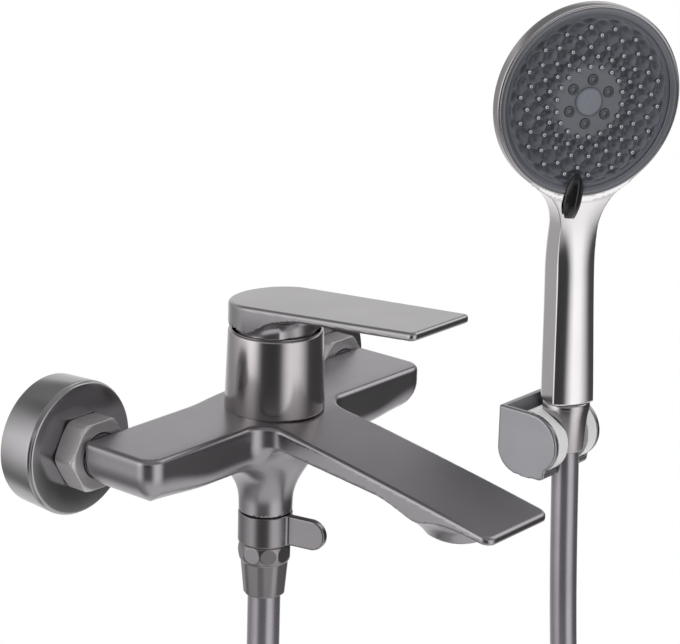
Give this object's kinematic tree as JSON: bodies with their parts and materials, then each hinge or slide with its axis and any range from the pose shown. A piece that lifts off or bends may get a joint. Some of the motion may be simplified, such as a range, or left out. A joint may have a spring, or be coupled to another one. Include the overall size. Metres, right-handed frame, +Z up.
{
  "type": "wall bath mixer set",
  "caption": "Wall-mounted bath mixer with flat spout and lever, diverter below, hose, round hand shower and wall bracket.",
  "frame": {"origin": "midway between the two wall outlets, on the finished wall", "axes": "+Z up, -Y out of the wall into the room, +X to the right when facing the wall from the room"},
  "size_m": [0.3953, 0.195, 0.6438],
  "materials": {
    "gunmetal_brass": "brushed gunmetal coating",
    "plain_brass": "machined",
    "steel": "satin",
    "ceramic": "lapped",
    "rubber": "matt",
    "silicone_nozzles": "matt",
    "white_plastic": "satin",
    "grey_plastic": "satin",
    "gunmetal_plastic": "brushed gunmetal coating",
    "dark_plastic": "satin",
    "gloss_black_plastic": "gloss",
    "hose_pvc": "satin"
  },
  "bodies": {
    "mixer": {"aerator_housing": "gunmetal_brass", "aerator_insert": "white_plastic", "aerator_seal": "rubber", "bracket_shell": "gunmetal_brass", "cartridge_base": "white_plastic", "cartridge_body": "white_plastic", "cartridge_nut": "plain_brass", "cartridge_seal": "rubber", "ceramic_disc_fixed": "ceramic", "escutcheon_left": "gunmetal_brass", "escutcheon_right": "gunmetal_brass", "escutcheon_seals": "rubber", "filter_washers": "rubber", "hose_lower": "hose_pvc", "housing_sleeve": "gunmetal_brass", "inlet_spigot_left": "plain_brass", "inlet_spigot_right": "plain_brass", "mixer_body": "gunmetal_brass", "mixer_hose_ferrule": "plain_brass", "mixer_hose_nut": "gunmetal_brass", "mixer_hose_washer": "rubber", "outlet_nipple": "plain_brass", "union_nut_left": "gunmetal_brass", "union_nut_right": "gunmetal_brass", "wall_union_left": "plain_brass", "wall_union_right": "plain_brass"},
    "lever": {"lever_handle": "gunmetal_brass", "lever_stem": "plain_brass", "lever_grub_screw": "steel", "lever_screw_plug": "gunmetal_brass"},
    "carrier": {"temperature_carrier": "white_plastic", "stem_pivot_pin": "steel"},
    "disc": {"ceramic_disc_moving": "ceramic"},
    "diverter": {"diverter_collar": "gunmetal_brass", "diverter_pin": "steel", "diverter_spool": "plain_brass", "diverter_o_rings": "rubber"},
    "holder": {"bracket_holder": "white_plastic", "hose_upper": "hose_pvc"},
    "hose_end": {"handset_hose_ferrule": "plain_brass"},
    "handset": {"handset_shell": "gunmetal_plastic", "handset_waterway": "grey_plastic", "handset_inlet": "grey_plastic", "flow_washer": "white_plastic", "face_ring": "gunmetal_plastic", "valve_seal": "rubber", "valve_disc": "grey_plastic", "valve_housing": "grey_plastic", "handset_hose_nut": "gunmetal_brass", "handset_hose_washer": "rubber"},
    "spray_head": {"spray_plate": "dark_plastic", "nozzle_mat": "silicone_nozzles", "jet_nozzles": "silicone_nozzles", "centre_cap": "gunmetal_plastic", "selector_tab": "gloss_black_plastic", "spray_distributor": "grey_plastic"}
  },
  "joints": [
    {"name": "temperature_turn", "type": "hinge", "parent": "mixer", "child": "carrier", "pos_m": [0, -0.055, 0.006], "axis": [0, 0, 1], "range_deg": [-45, 45]},
    {"name": "lever_lift", "type": "hinge", "parent": "carrier", "child": "lever", "pos_m": [0, -0.055, 0.04], "axis": [-1, 0, 0], "range_deg": [0, 20]},
    {"name": "disc_slide", "type": "slide", "parent": "carrier", "child": "disc", "axis": [0, -1, 0], "range_m": [0, 0.00502]},
    {"name": "diverter_turn", "type": "hinge", "parent": "mixer", "child": "diverter", "pos_m": [0, -0.051, 0.006], "axis": [0, 0, -1], "range_deg": [0, 90]},
    {"name": "holder_tilt", "type": "hinge", "parent": "mixer", "child": "holder", "pos_m": [0.2566, -0.0205, -0.0745], "axis": [1, 0, 0], "range_deg": [0, 20], "deforming": ["hose_lower"]},
    {"name": "handset_lift", "type": "slide", "parent": "holder", "child": "hose_end", "axis": [0, 0.0419, 0.9991], "range_m": [0, 0.03], "deforming": ["hose_upper"]},
    {"name": "handset_swivel", "type": "hinge", "parent": "hose_end", "child": "handset", "pos_m": [0.2566, -0.02849, -0.07416], "axis": [0, 0.0419, 0.9991], "range_deg": [0, 60]},
    {"name": "spray_select", "type": "hinge", "parent": "handset", "child": "spray_head", "pos_m": [0.2466, -0.03842, 0.10271], "axis": [-0.4977, -0.8653, -0.0597], "range_deg": [-25, 25]}
  ],
  "couplings": [
    {"joint": "disc_slide", "follows": "lever_lift", "m_per_rad": 0.013815}
  ]
}
